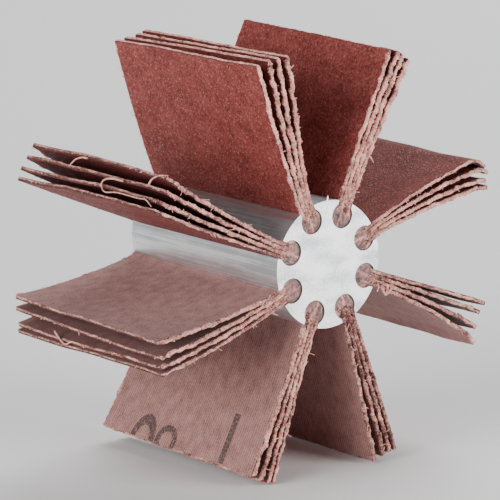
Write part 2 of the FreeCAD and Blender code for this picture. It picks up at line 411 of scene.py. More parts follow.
def make_hub():
    hub = bar("hub_bar", HUB_RADIUS, HUB_FRONT, HUB_REAR, HUB_SIDES)
    pick_faces(hub, lambda middle, normal: abs(normal.y) > SQUARE)
    bpy.ops.mesh.region_to_loop()
    bpy.ops.mesh.bevel(offset=RIM_BREAK, segments=BREAK_STEPS)
    close_up(hub)
    cut(hub, join([keyhole_cutter(pack) for pack in range(1, PACKS + 1)]))
    cut_drive_hole(hub)
    hub = join([hub, burr_nub()])
    apply_modifier(
        hub, "BEVEL", width=EDGE_BREAK, segments=BREAK_STEPS, limit_method="ANGLE",
        angle_limit=math.radians(BROKEN_FROM),
    )
    for material in (drawn_aluminium(), faced_aluminium(), cut_aluminium()):
        hub.data.materials.append(material)
    for face in hub.data.polygons:
        from_axis = math.hypot(face.center.x, face.center.z)
        if abs(face.normal.y) > SQUARE:
            face.material_index = FACED_MATERIAL
        elif from_axis < HUB_RADIUS - 2 * RIM_BREAK:
            face.material_index = CUT_MATERIAL
    shade_smooth(hub, SHADED_FROM)
    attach(hub, "root")
    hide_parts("hub")


make_hub()


# Each pack's potted root is a bead of hard brown resin. It is cast about the ends of the flaps,
# fills the round of the keyhole, and has sunk a little below the hub's faces.

HUB_MIDDLE = (HUB_FRONT + HUB_REAR) / 2
ROOT_PLAY = 0.05 * MM
ROOT_RADIUS = ROUND_RADIUS - ROOT_PLAY
ROOT_SINK = 0.42 * MM
ROOT_RINGS = 9
ROOT_SHADED_FROM = 40

# The pocket for the flaps' ends: how far from the axis it begins, and the resin that closes it.
POCKET_START, POCKET_CAP = 7.77 * MM, 0.25 * MM

# How far the bead's ends rise at the wall and in the middle, how flat they are between, and the
# height and the number of their lumps.
WALL_RISE, MIDDLE_RISE, CROWN_POWER = 0.1 * MM, 0.25 * MM, 4
RESIN_LUMP, RESIN_LUMPS_A_MM = 0.16 * MM, 1.1

# How near an end a point on it lies, and how far apart the packs' lumps lie in the noise, in
# millimetres.
NEAR = 0.01 * MM
NOISE_STEP = 3

RESIN_DARK = (0.060, 0.030, 0.026, 1)
RESIN_BROWN = (0.19, 0.085, 0.073, 1)
RESIN_MAUVE = (0.35, 0.163, 0.147, 1)
RESIN_GREY = (0.14, 0.10, 0.088, 1)
THREAD_PINK = (0.74, 0.33, 0.29, 1)

# The sizes and depth of the marks on the resin, and the radii between which it turns grey,
# a painted shade where the bead meets the wall, along a line that the lint makes ragged.
RESIN_LINT, RESIN_CLOUD, RESIN_RELIEF = 0.5 * MM, 1.6 * MM, 0.12 * MM
GREY_FROM, GREY_TO, GREY_RAGGED = 1.75 * MM, 2.25 * MM, 0.5 * MM

# The cloth's threads in the resin: how wide they are, how long for their width, how far and over
# what distance they bend, and how clearly they show in each pack.
THREAD_WIDTH, THREAD_STRETCH = 0.5 * MM, 5
THREAD_BEND, THREAD_BEND_SIZE = 0.9 * MM, 1.3 * MM
THREADS_SHOWN = (1.0, 0.5, 0.7, 0.85, 0.3, 0.7, 0.95, 0.55)


def between(first, last, share):
    """A value a share of the way from the first to the last."""
    return first + (last - first) * share


def set_map(piece, name, places):
    """Gives the corners of a piece's faces their vertices' places on a flat map."""
    flat_map = piece.data.uv_layers[0]
    flat_map.name = name
    corners = np.zeros(len(piece.data.loops), np.int32)
    piece.data.loops.foreach_get("vertex_index", corners)
    flat_map.data.foreach_set("uv", np.asarray(places, np.float32)[corners].ravel())


def set_values(piece, name, values):
    """Gives a piece's vertices values that its material reads, or one value for all of them."""
    layer = piece.data.attributes.new(name, "FLOAT", "POINT")
    layer.data.foreach_set("value", np.full(len(piece.data.vertices), values, np.float32))


def mix(share, first, second):
    """Mixes a share of the second colour into the first. The node's other inputs aren't colours."""
    return node(share, "Mix", {0: share, 6: first, 7: second}, data_type="RGBA").outputs[2]


def cast_resin():
    """Hard resin: brown and mauve, with painted shade in grey at the wall, and the cloth's pink
    threads in it.
    """
    material = new_material("cast_resin")
    place = object_place(material)
    across = node(material, "UVMap", uv_map="round").outputs[0]
    lint = noise_at(place, RESIN_LINT, detail=4.0)
    cloud = noise_at(place, RESIN_CLOUD)
    tone = blend((lint, 0.6), (cloud, 0.5))
    stops = [(0.42, RESIN_DARK), (0.52, RESIN_BROWN), (0.68, RESIN_MAUVE)]
    # Painted shade: the resin turns grey towards the wall of the round.
    radius = calculate_vector("LENGTH", across)
    ragged = blend((radius, 1.0), (lint, GREY_RAGGED))
    wall_shade = node(
        material, "MapRange", {"Value": ragged, "From Min": GREY_FROM, "From Max": GREY_TO}
    ).outputs[0]
    colour = mix(wall_shade, ramp(tone, stops), RESIN_GREY)

    noise_scale = {"Vector": across, "Scale": 1 / THREAD_BEND_SIZE, "Detail": 1.0}
    bend = node(material, "TexNoise", noise_scale).outputs["Color"]
    bend = calculate_vector("MULTIPLY", bend, (THREAD_BEND,) * 3)
    bent = calculate_vector("ADD", across, bend)
    threads = noise_at(bent, THREAD_WIDTH, stretch=(THREAD_STRETCH, 1, 1))
    threads = ramp(threads, [(0.5, grey(0)), (0.62, grey(1))])
    shown = node(material, "Attribute", attribute_name="threads_shown").outputs["Fac"]
    threads = product(threads, shown)
    colour = mix(threads, colour, THREAD_PINK)
    normal = bump(blend((lint, 1.0), (threads, 0.4)), RESIN_RELIEF)
    return surface(material, Base_Color=colour, Roughness=0.5, Normal=normal)


def crown_ends(root, half_length, pack):
    """Raises the middle of a bead's two ends, and gives them the lumps of cast resin."""
    pick_faces(root, lambda middle, normal: abs(middle.y - HUB_MIDDLE) > half_length - NEAR)
    for _ in range(ROOT_RINGS):
        bpy.ops.mesh.inset(thickness=ROOT_RADIUS / (ROOT_RINGS + 1), use_individual=False)
    bpy.ops.mesh.poke()
    close_up(root)
    for vertex in root.data.vertices:
        if abs(vertex.co.y - HUB_MIDDLE) > half_length - NEAR:
            x, y, z = vertex.co.x - ROUND_CENTRE, vertex.co.y, vertex.co.z
            flat = (math.hypot(x, z) / ROOT_RADIUS) ** CROWN_POWER
            place = Vector((x / MM, NOISE_STEP * pack + y / MM, z / MM)) * RESIN_LUMPS_A_MM
            lump = RESIN_LUMP * noise.noise(place) * (1 - flat)
            rise = between(MIDDLE_RISE, WALL_RISE, flat) + lump
            vertex.co.y += math.copysign(rise, y - HUB_MIDDLE)


def make_root(pack, resin):
    front, rear = HUB_FRONT + ROOT_SINK, HUB_REAR - ROOT_SINK
    root = bar(f"root_bead_{pack}", ROOT_RADIUS, front, rear, ROUND_SIDES)
    root.data.transform(Matrix.Translation((ROUND_CENTRE, 0, 0)))
    low = (POCKET_START, front + POCKET_CAP, -SLOT_WIDTH / 2)
    high = (HUB_RADIUS, rear - POCKET_CAP, SLOT_WIDTH / 2)
    cut(root, block("pocket", low, high))
    crown_ends(root, (rear - front) / 2, pack)
    set_map(root, "round", [(v.co.x - ROUND_CENTRE, v.co.z) for v in root.data.vertices])
    set_values(root, "threads_shown", THREADS_SHOWN[pack - 1])
    settle(root, slot_turn(pack))
    root.data.materials.append(resin)
    shade_smooth(root, ROOT_SHADED_FROM)
    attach(root, "root")
    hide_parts(f"pack_{pack}_root")


resin = cast_resin()
for pack in range(1, PACKS + 1):
    make_root(pack, resin)


# Each flap is a strip of resin-bonded abrasive cloth: twilled cotton with a coat of red-brown
# aluminium oxide grit on its leading side. It stands in its slot and has bent back in use.

FLAPS = 4
FLAP_THICKNESS = 0.7 * MM
NECK_LENGTH = 3.6 * MM
PANEL_INSET = 0.3 * MM
PANEL_COLUMNS, PANEL_ROWS = 54, 42
PANEL_SHADED_FROM = 50

# How a flap's middle line is read from its CAD solid: how squarely a face of a side looks across
# the pack, how many digits tell corners apart, and how many points the line has and is smoothed
# over.
ON_A_SIDE = 0.7
PLACE_DIGITS = 7
LINE_POINTS, LINE_SMOOTHING = 400, 21

# How far each tip curls down, in degrees, from the leading flap to the trailing one, and over what
# length.
TIP_CURLS = {1: (85, 36, 26, 18), 8: (4, 4, 6, 16)}
CURL_LENGTH = 3.5 * MM

# How a flap has warped: the length over which each wave turns by a radian, and how far the waves
# go at the tip. Its pack shares one wave, which slants, and two are its own.
PACK_WAVE, PACK_WAVE_SLANT, PACK_WARP = 9 * MM, 14 * MM, 0.18 * MM
FLAP_WAVE, SHORT_WAVE, SHORT_SHARE, FLAP_WARP = 5 * MM, 2.3 * MM, 0.6, 0.09 * MM

# Where in their waves the packs and their flaps begin, in radians from one to the next.
PACK_WAVE_STEP, PACK_PHASE, FLAP_PHASE = 1.7, 7.3, 2.1

# How the warp, the lift and the stretch grow towards the tip: the power of how free a point is.
LIFT_POWER, STRETCH_POWER = 1.5, 2

# How each tip stands off its CAD solid, from the leading flap to the trailing one: how far towards
# the grit at its front and rear corners, and how much longer there, in millimetres.
TIP_SHIFTS = {
    1: ((1.75, 2.1, -0.7, 0.2), (1.05, 1.2, 0.3, 0.3),
        (0, 0.1, -0.2, 0.2), (-0.05, 0.1, -0.2, 0.2)),
    2: ((0.27, 0.1, 0.25, 1.4), (0.05, 0, 0.55, 1.2),
        (0.15, 0, 0.45, 1), (-0.05, 0, 0.2, 0.8)),
    3: ((0.3, 0, 0.6, 0.25), (-0.3, 0, 0.3, -0.2),
        (-0.05, -0.3, 0, -0.5), (-0.05, -0.1, -0.5, -0.4)),
    4: ((0.1, 0.2, 1.3, -0.2), (0.4, 0.4, 0.3, -0.1),
        (0.4, 0, -0.6, -0.5), (0.35, -0.5, 0.8, -0.7)),
    5: ((0.3, -0.3, -0.25, 0.9), (0.8, 0.45, -0.35, 0.3),
        (0.85, -1.1, -0.7, 0), (-0.55, -1.5, -0.7, -0.5)),
    6: ((1.05, 0.4, 0.55, 0.5), (1.5, 0.2, 0.85, 0.7),
        (1.3, -0.3, 0.7, 0.7), (0.6, -1, 0.45, 0.8)),
    7: ((0.1, 0, 0.65, 0.5), (0.45, 0.3, 0.4, 0.3),
        (0.15, 0.1, 0.25, 0.2), (-0.5, -0.4, 0.3, 0.3)),
    8: ((1.1, 1, 0.1, 0.1), (1.2, 1, -0.6, -0.3),
        (0.4, 0.3, -0.2, -0.2), (0.3, 0, 0.9, 0.5)),
}

GRIT_DEEP = (0.085, 0.011, 0.009, 1)
GRIT_RED = (0.212, 0.038, 0.032, 1)
GRIT_LIGHT = (0.33, 0.092, 0.078, 1)
GRIT_SPARK = (0.60, 0.27, 0.23, 1)
CUT_DEEP = (0.055, 0.018, 0.016, 1)
CUT_MAUVE = (0.17, 0.075, 0.067, 1)
CLOTH_DEEP = (0.160, 0.073, 0.065, 1)
CLOTH_MAUVE = (0.318, 0.156, 0.141, 1)
CLOTH_LIGHT = (0.465, 0.263, 0.238, 1)
PRINT_INK = (0.055, 0.040, 0.038, 1)

# The sizes and depths of the marks on the grit, the cut edge and the cloth.
GRAIN, GRIT_MOTTLE, GRIT_CLOUD, GRIT_RELIEF = 0.26 * MM, 0.75 * MM, 4 * MM, 0.12 * MM
YARN_END, EDGE_RELIEF = 0.35 * MM, 0.15 * MM
RIB_PITCH, RIB_WANDER, CLOTH_LINT, CLOTH_CLOUD = 0.55 * MM, 1.4 * MM, 0.3 * MM, 1.8 * MM
CLOTH_RELIEF, RELIEF_STRENGTH = 0.07 * MM, 0.8

# How much of the spark's colour a glinting grain takes, and how much light is left on the faces
# inside a pack by painted shade, which stands for the shade between the flaps, and by red dust,
# which takes more of their green and blue, by a power.
GLINT = 0.28
INNER_LEFT_BY_SHADE_AND_DUST, DUST_POWER = 0.55, 1.35

# The plain number on the back of one flap: the width of its ink, half of that as a share of a
# ring's radius, and the size of its worn spots.
PRINTED_FLAP = (6, 4)
PRINTED_LENGTH = 30.4 * MM
INK_WIDTH, INK_SHARE, INK_WEAR = 1.5 * MM, 0.28, 0.4 * MM

# Each ring of the 0 and the 8: its middle, from the front edge and beyond the tip, and its radii.
# Then the 1: its place from the front edge, its middle back from the tip, and its length.
INK_RINGS = (
    (30.9 * MM, -0.3 * MM, 2.5 * MM, 3.6 * MM),
    (24.7 * MM, -1.5 * MM, 2.2 * MM, 2.1 * MM),
    (24.7 * MM, 2.7 * MM, 2.4 * MM, 2.1 * MM),
)
STROKE_PLACE, STROKE_MIDDLE, STROKE_LENGTH = 9 * MM, 5.1 * MM, 8.8 * MM


def shaded_and_dusty(stops, left_by_shade_and_dust):
    """A ramp's stops in colours darkened by painted shade between the flaps and by red dust."""
    green_blue_left = left_by_shade_and_dust ** DUST_POWER
    return [(place, (r * left_by_shade_and_dust, g * green_blue_left, b * green_blue_left, 1)) for place, (r, g, b, _) in stops]


def abrasive_grit(name, left_by_shade_and_dust=1.0):
    """Grit: packed red-brown grains, some of them glinting, under a thin coat of resin."""
    material = new_material(name)
    place = object_place(material)
    grains = node(material, "TexVoronoi", {"Vector": place, "Scale": 1 / GRAIN})
    own = node(material, "SeparateColor", {"Color": grains.outputs["Color"]})
    own_tone, own_glint = own.outputs[0], own.outputs[1]
    mottles = noise_at(place, GRIT_MOTTLE)
    clouds = noise_at(place, GRIT_CLOUD, detail=4.0)
    tone = blend((own_tone, 0.3), (clouds, 0.4), (mottles, 0.4))
    stops = [(0.3, GRIT_DEEP), (0.54, GRIT_RED), (0.82, GRIT_LIGHT)]
    colour = ramp(tone, shaded_and_dusty(stops, left_by_shade_and_dust))
    glint = ramp(own_glint, [(0.88, grey(0)), (0.98, grey(1))])
    colour = mix(product(glint, GLINT * left_by_shade_and_dust), colour, GRIT_SPARK)
    rough = ramp(glint, [(0, grey(0.7)), (1, grey(0.3))])
    height = product(grains.outputs["Distance"], -1)
    normal = bump(height, GRIT_RELIEF, RELIEF_STRENGTH)
    return surface(
        material, Base_Color=colour, Roughness=rough, Normal=normal, Specular_IOR_Level=0.28,
    )


def cut_edge():
    """The cut through the cloth: dark resin with the ends of the threads in it."""
    material = new_material("cut_edge")
    ends = noise_at(object_place(material), YARN_END, detail=3.0)
    return surface(
        material, Base_Color=ramp(ends, [(0.38, CUT_DEEP), (0.68, CUT_MAUVE)]),
        Roughness=0.85, Normal=bump(ends, EDGE_RELIEF), Specular_IOR_Level=0.3,
    )


def ring_of_ink(place, middle, radii):
    """Whether a point lies on a ring of ink."""
    from_middle = calculate_vector("SUBTRACT", place, (*middle, 0))
    shares = calculate_vector("DIVIDE", from_middle, (*radii, 1))
    radius = calculate_vector("LENGTH", shares)
    return calculate("COMPARE", radius, 1.0, INK_SHARE)


def printed_number(place):
    """The plain number 180 in worn ink, its last two digits partly cut off with the cloth."""
    axes = node(place, "SeparateXYZ", {"Vector": place})
    stroke_middle = PRINTED_LENGTH - STROKE_MIDDLE
    wide = calculate("COMPARE", axes.outputs[0], STROKE_PLACE, INK_WIDTH / 2)
    long = calculate("COMPARE", axes.outputs[1], stroke_middle, STROKE_LENGTH / 2)
    ink = product(wide, long)
    for across, beyond, *radii in INK_RINGS:
        ring = ring_of_ink(place, (across, PRINTED_LENGTH + beyond), radii)
        ink = calculate("MAXIMUM", ink, ring)
    wear = noise_at(place, INK_WEAR, detail=3.0)
    return product(ink, ramp(wear, [(0.36, grey(0.25)), (0.52, grey(0.9))]))


def backing_cloth(name, left_by_shade_and_dust=1.0, printed=False):
    """The cloth's back: mauve twill, with ribs that run from root to tip."""
    material = new_material(name)
    place = node(material, "UVMap", uv_map="flap").outputs[0]
    axes = node(material, "SeparateXYZ", {"Vector": place})
    wander = noise_at(place, RIB_WANDER, stretch=(1, 4, 1))
    ribs = blend((axes.outputs[0], 2 * math.pi / RIB_PITCH), (wander, 3.0))
    ribs = calculate("SINE", ribs)
    lint = noise_at(place, CLOTH_LINT, detail=4.0)
    clouds = noise_at(place, CLOTH_CLOUD, detail=4.0, stretch=(1, 1.3, 1))
    tone = blend((ribs, 0.08), (lint, 0.6), (clouds, 0.45))
    stops = [(0.32, CLOTH_DEEP), (0.5, CLOTH_MAUVE), (0.72, CLOTH_LIGHT)]
    colour = ramp(tone, shaded_and_dusty(stops, left_by_shade_and_dust))
    if printed:
        colour = mix(printed_number(place), colour, PRINT_INK)
    height = blend((ribs, 0.4), (lint, 1.0))
    normal = bump(height, CLOTH_RELIEF, RELIEF_STRENGTH)
    return surface(
        material, Base_Color=colour, Roughness=0.85, Normal=normal, Specular_IOR_Level=0.3,
        Sheen_Weight=0.08, Sheen_Roughness=0.4,
    )


def distances(points):
    """How far along a line of points each point is."""
    steps = np.linalg.norm(np.diff(points, axis=0), axis=1)
    return np.concatenate([[0], np.cumsum(steps)])


def even_points(points, count):
    """Points evenly spaced along a line of points."""
    points = np.array(points)
    along = distances(points)
    stations = np.linspace(0, along[-1], count)
    return np.stack([np.interp(stations, along, column) for column in points.T], axis=1)


def flap_line(name, pack):
    """The middle line of a flap's CAD solid across the axis, from its root to its tip."""
    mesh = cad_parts[name].data
    outwards = slot_turn(pack) @ Vector((1, 0, 0))
    leading = slot_turn(pack) @ Vector((0, 0, 1))
    sides = {True: set(), False: set()}
    for face in mesh.polygons:
        facing = face.normal.dot(leading)
        if abs(facing) > ON_A_SIDE:
            for index in face.vertices:
                corner = mesh.vertices[index].co
                place = (corner.dot(outwards), corner.dot(leading))
                sides[facing > 0].add(tuple(round(value, PLACE_DIGITS) for value in place))
    middle = sum(even_points(sorted(side), LINE_POINTS) for side in sides.values()) / 2
    return smoothed(middle)


def smoothed(line):
    """A line without its facets. It is drawn out at both ends, so that they stay in place."""
    reach = LINE_SMOOTHING // 2
    before = line[0] + np.outer(np.arange(-reach, 0), line[1] - line[0])
    after = line[-1] + np.outer(np.arange(1, reach + 1), line[-1] - line[-2])
    padded = np.concatenate([before, line, after])
    kernel = np.ones(LINE_SMOOTHING) / LINE_SMOOTHING
    return np.stack([np.convolve(column, kernel, "valid") for column in padded.T], axis=1)


def curled(line, degrees):
    """A line whose last stretch curls towards its trailing side."""
    steps = np.diff(line, axis=0)
    lengths = np.linalg.norm(steps, axis=1)
    from_tip = lengths.sum() - np.cumsum(lengths)
    share = np.clip(1 - from_tip / CURL_LENGTH, 0, 1)
    angles = np.arctan2(steps[:, 1], steps[:, 0]) - math.radians(degrees) * share
    steps = np.stack([np.cos(angles), np.sin(angles)], axis=1) * lengths[:, None]
    return np.concatenate([line[:1], line[0] + np.cumsum(steps, axis=0)])


class Flap:
    """The middle surface of one flap, on which its panel, its frayed edge and its threads lie."""

    def __init__(self, pack, number):
        self.pack, self.number = pack, number
        self.name = f"pack_{pack}_flap_{number}"
        self.line = flap_line(self.name, pack)
        if pack in TIP_CURLS:
            self.line = curled(self.line, TIP_CURLS[pack][number - 1])
        self.along = distances(self.line)
        self.length = self.along[-1]
        slope = np.gradient(self.line, axis=0)
        slope /= np.linalg.norm(slope, axis=1)[:, None]
        self.facing = np.stack([-slope[:, 1], slope[:, 0]], axis=1)
        low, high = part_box(self.name)
        self.front, self.width = low.y, high.y - low.y
        self.turn = np.array(slot_turn(pack).to_3x3())
        self.shifts = np.array(TIP_SHIFTS[pack][number - 1]) * MM

    def free(self, s):
        """How free a point is of the slot, from 0 in the neck to 1 at the tip."""
        return np.clip((s - NECK_LENGTH) / (self.length - NECK_LENGTH), 0, 1)

    def warp(self, s, t):
        """How far the flap has warped out of its own curve, more towards its tip."""
        phase = self.pack * PACK_PHASE + self.number * FLAP_PHASE
        shared = np.sin(t / PACK_WAVE + self.pack * PACK_WAVE_STEP + s / PACK_WAVE_SLANT)
        own = np.sin(t / FLAP_WAVE + phase) + SHORT_SHARE * np.sin(t / SHORT_WAVE + 2 * phase)
        return self.free(s) ** LIFT_POWER * (PACK_WARP * shared + FLAP_WARP * own)

    def place(self, s, t, h):
        """Points at a distance from the root, from the front edge and above the middle surface."""
        s, t, h = (np.asarray(value, float) for value in (s, t, h))
        front_lift, rear_lift, front_stretch, rear_stretch = self.shifts
        rearwards, free = t / self.width, self.free(s)
        h = h + self.warp(s, t) + between(front_lift, rear_lift, rearwards) * free ** LIFT_POWER
        s = s + between(front_stretch, rear_stretch, rearwards) * free ** STRETCH_POWER
        beyond = np.maximum(s - self.length, 0)
        x, z = (np.interp(s, self.along, column) for column in self.line.T)
        facing_x, facing_z = (np.interp(s, self.along, column) for column in self.facing.T)
        x = x + h * facing_x + beyond * facing_z
        z = z + h * facing_z - beyond * facing_x
        return np.stack([x, self.front + t + 0 * h, z], axis=-1) @ self.turn.T


def move_to(piece, points):
    """Moves all the vertices of a piece."""
    piece.data.vertices.foreach_set("co", np.asarray(points, np.float32).ravel())
    piece.data.update()


def grid(name, columns, rows):
    """A flat grid, and its vertices' places across and along it, from 0 to 1."""
    piece = add(
        name, bpy.ops.mesh.primitive_grid_add, x_subdivisions=columns, y_subdivisions=rows, size=1,
    )
    flat = np.zeros(len(piece.data.vertices) * 3)
    piece.data.vertices.foreach_get("co", flat)
    across, along, _ = (flat.reshape(-1, 3) + 0.5).T
    return piece, across, along


def make_panel(flap, materials):
    """The flap's strip, up to where its edges fray."""
    panel, across, along = grid(f"{flap.name}_cloth", PANEL_COLUMNS, PANEL_ROWS)
    t = PANEL_INSET + across * (flap.width - 2 * PANEL_INSET)
    s = along * (flap.length - PANEL_INSET)
    move_to(panel, flap.place(s, t, 0))
    set_map(panel, "flap", np.stack([t, s], axis=1))
    for material in materials:
        panel.data.materials.append(material)
    facing = flap.turn @ np.array([flap.facing[0][0], 0, flap.facing[0][1]])
    if Vector(facing).dot(panel.data.polygons[0].normal) < 0:
        panel.data.flip_normals()
    apply_modifier(
        panel, "SOLIDIFY", thickness=FLAP_THICKNESS, offset=0, material_offset=1,
        material_offset_rim=2,
    )
    shade_smooth(panel, PANEL_SHADED_FROM)
    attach(panel, "root")
    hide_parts(flap.name)
    return panel


# The free edges of the cloth have frayed in use. Each is a ragged roll of pale cotton threads that
# have come loose from the weave, with short ends that stand out of it.

FRAY_INSET = PANEL_INSET
FRAY_STATION = 0.16 * MM
FRAY_SIDES = 9
FRAY_START = 0.7 * MM
CORNER_RADIUS, CORNER_STATIONS = 0.8 * MM, 5
DOUBLES = 0.001 * MM

# The roll's radius on each pack, in millimetres, and the shares of it on the leading flap, which
# the work wears down, and on the others.
ROLL_RADII = (0.31, 0.39, 0.37, 0.28, 0.31, 0.34, 0.33, 0.29)
LEADING_ROLL, OTHER_ROLL = 0.84, 1.08

# The roll's lumps and fuzz: their size, and how much thicker or thinner they make it, lumps less in
# the neck and within a limit. Fuzz is drawn from a ring in the noise, so it differs all round.
LUMP_SIZE, NECK_LUMPS, TIP_LUMPS, LUMP_LIMIT = 1.1 * MM, 0.4, 0.6, 0.3
FUZZ_SIZE, FUZZ_SHARE, FUZZ_RING = 0.3 * MM, 0.7, 0.4 * MM

# How the roll sways across the cloth and drifts in and out: the size of the waves, how far they
# go, and the share of that in the neck.
SWAY_SIZE, SWAY, NECK_SWAY = 2.1 * MM, 0.4 * MM, 0.25
DRIFT_SIZE, DRIFT, NECK_DRIFT = 1.3 * MM, 0.36 * MM, 0.3

# Where in the noise each pack, flap, sway and drift begins.
PACK_SEED, FLAP_SEED, SWAY_SEED, DRIFT_SEED = 31 * MM, 17 * MM, 50 * MM, 90 * MM

# The cut yarns stand side by side as small tufts: how far apart, how far the lumps push them
# along, in radians, how much thicker the roll is on one, and how much paler it is painted there and
# darker between them, a painted highlight and painted shade of the tufts.
YARN_PITCH, TUFT_PUSH = 0.66 * MM, 4
TUFT_SIZE, TUFT_PALE = 0.05, 0.12

# The tips have frayed less: what is left there of the roll's thickness and of its lumps, and how
# far it lies towards the cloth.
TIP_ROLL, TIP_CALM, TIP_OFFSET = 0.62, 0.3, 0.13 * MM

# How much thicker and darker the roll is at the neck, and how far out that reaches.
NECK_SWELL, NECK_DARKENING, NECK_REACH = 0.3, 0.6, 9 * MM

# From the lip inwards the roll draws back, by up to a depth, and less so the clearer the threads
# show in the pack's resin.
LIP_PLACE = 2.6 * MM
LIP_DEPTH, LIP_SHOWN = 0.5 * MM, 0.42 * MM

# How pale each pack's threads are along its sides and its tips, and where they stand loose. By
# pack,
# this is partly painted light and shade: palest on packs 2 and 3, which the lamps light well, and
# darkest on pack 7, which lies in the shade of pack 6.
PALE_SIDES = (0.75, 0.9, 0.85, 0.65, 0.7, 0.65, 0.3, 0.55)
PALE_TIPS = (0.35, 0.35, 0.8, 0.35, 0.35, 0.35, 0.3, 0.35)
PALE_THREADS = 1.0

# Pale and dusty patches: their size, and how much they differ. The grit's side of a tip is dusty
# all over, by this much less its own paleness.
PATCH_SIZE, PATCH_PALE = 3.1 * MM, 0.8
TIP_DUST = 0.8

# The short ends that stand out of the roll: how many a flap has, how many stations at each end of
# the roll have none, their length, its share on the tips, the share of them that are twice as
# long, and how far one may lean, lift and curve.
THREAD_ENDS, BARE_STATIONS = 60, 8
THREAD_LENGTHS = (0.3 * MM, 0.75 * MM)
TIP_THREADS, LONG_THREADS = 0.4, 0.08
THREAD_LEAN, THREAD_LIFT, THREAD_CURVE = 1.3, 1.1, 0.6

# Their radii, the share of it that a thread loses on its way, and the steps and sides of its tube.
# The sides are set out from a direction that no thread follows.
THREAD_RADII = (0.0595 * MM, 0.1445 * MM)
THREAD_TAPER = 0.45
THREAD_STEPS, THREAD_SIDES = 5, 5
ASKEW = Vector((0.31, 0.87, 0.38))

# Threads that have come right out, by pack and flap: the radius of each, and its points as
# distances beyond the tip, from the front edge and towards the grit, all in millimetres.
LOOSE_THREADS = {
    (4, 4): [
        (0.19, [(0, 3.6, 1.7), (0.4, 2.8, 0.8), (0.4, 1.4, 0), (-0.2, 0, -0.5)]),
        (0.2, [(0, 23.7, 0.4), (0.3, 25, 0.6), (0.5, 26.3, 1.3), (0.2, 27.5, 2.4)]),
    ],
    (4, 3): [
        (0.2, [(-0.2, 0, -0.1), (-1.1, -0.4, 0), (-1.6, -0.4, 0.4)]),
        (0.2, [(-2.4, 0, -0.1), (-3.3, -0.4, 0), (-3.9, -0.4, 0.3)]),
    ],
    (4, 2): [
        (0.18, [
            (0, 11.6, -1.7), (0.4, 14.3, -1.5), (0.6, 16, -0.9), (0.6, 16.1, 0.1), (0.5, 14.6, 1),
            (0.4, 11.4, 0.5), (0.4, 5.3, 0.4), (0.5, 3.2, 0.3), (0.3, 1.2, 1.1),
        ]),
    ],
    (5, 2): [
        (0.2, [
            (0.2, 29.8, -1.4), (0.5, 28.1, -0.3), (0.5, 26.7, 0.4), (0.5, 24.4, -0.5),
            (0, 22.3, -0.1),
        ]),
    ],
    (8, 4): [
        (0.3, [(-24.8, 0, 0.3), (-24.2, -0.4, -0.4), (-23.4, -0.6, -1)]),
        (0.3, [(-22.2, 0, 0.8), (-22.8, -0.4, 0), (-23.4, -0.6, -0.9)]),
        (0.26, [(-23.5, 0, 0.9), (-23.4, -0.5, 0.2), (-23.5, -0.6, -0.7)]),
        (0.2, [(-25.6, 0, 0.4), (-25.4, -0.4, -0.2), (-25.5, -0.5, -0.9)]),
    ],
    (3, 4): [
        (0.19, [(-2.2, 0.3, 0), (-1.9, 0, -0.5), (-1.6, -0.1, -0.9)]),
        (0.2, [(-7.8, 0.3, 0), (-7.5, 0, -0.4), (-7.5, -0.1, -0.7)]),
        (0.2, [(-11.3, 0.3, 0), (-11.1, 0, -0.4), (-10.7, -0.1, -0.8)]),
        (0.19, [(-15.4, 0.3, 0), (-15.2, 0, -0.5), (-15.3, -0.1, -0.7)]),
    ],
}

FRAY_CREAM = (0.98, 0.60, 0.47, 1)
FRAY_STRAW = (0.57, 0.34, 0.265, 1)
FRAY_BLUSH = (0.98, 0.41, 0.36, 1)
FRAY_PINK = (0.61, 0.255, 0.22, 1)
FRAY_DUSTY = (0.27, 0.125, 0.11, 1)
FRAY_DARK = (0.10, 0.034, 0.029, 1)
FRAY_SHEEN = (1, 0.6, 0.52, 1)

# The sizes and depth of the marks on the threads.
FRAY_LINT, FRAY_PATCH, FRAY_TINT, FRAY_RELIEF = 0.25 * MM, 0.8 * MM, 0.9 * MM, 0.12 * MM

# The tones at which the threads are darkest, dusty, coloured and palest.
FRAY_TONES = (0.64, 0.76, 0.91, 1.12)


def frayed_cotton():
    """Loosened threads: pale pink and cream, with grit dust here and there."""
    material = new_material("frayed_cotton")
    place = object_place(material)
    lint = noise_at(place, FRAY_LINT, detail=3.0)
    patches = noise_at(place, FRAY_PATCH, detail=3.0)
    pale = node(material, "Attribute", attribute_name="pale").outputs["Fac"]
    palest = FRAY_TONES[-1]
    tone = blend((lint, 0.8 / palest), (patches, 0.65 / palest), (pale, 0.3 / palest))
    stops = [level / palest for level in FRAY_TONES]
    pink, straw = (
        ramp(tone, list(zip(stops, (FRAY_DARK, FRAY_DUSTY, *colours))))
        for colours in ((FRAY_PINK, FRAY_BLUSH), (FRAY_STRAW, FRAY_CREAM))
    )
    tint = ramp(noise_at(place, FRAY_TINT), [(0.46, grey(0)), (0.56, grey(1))])
    return surface(
        material, Base_Color=mix(tint, pink, straw), Roughness=0.9,
        Normal=bump(lint, FRAY_RELIEF), Specular_IOR_Level=0.25,
        Sheen_Weight=0.3, Sheen_Roughness=0.5, Sheen_Tint=FRAY_SHEEN,
    )


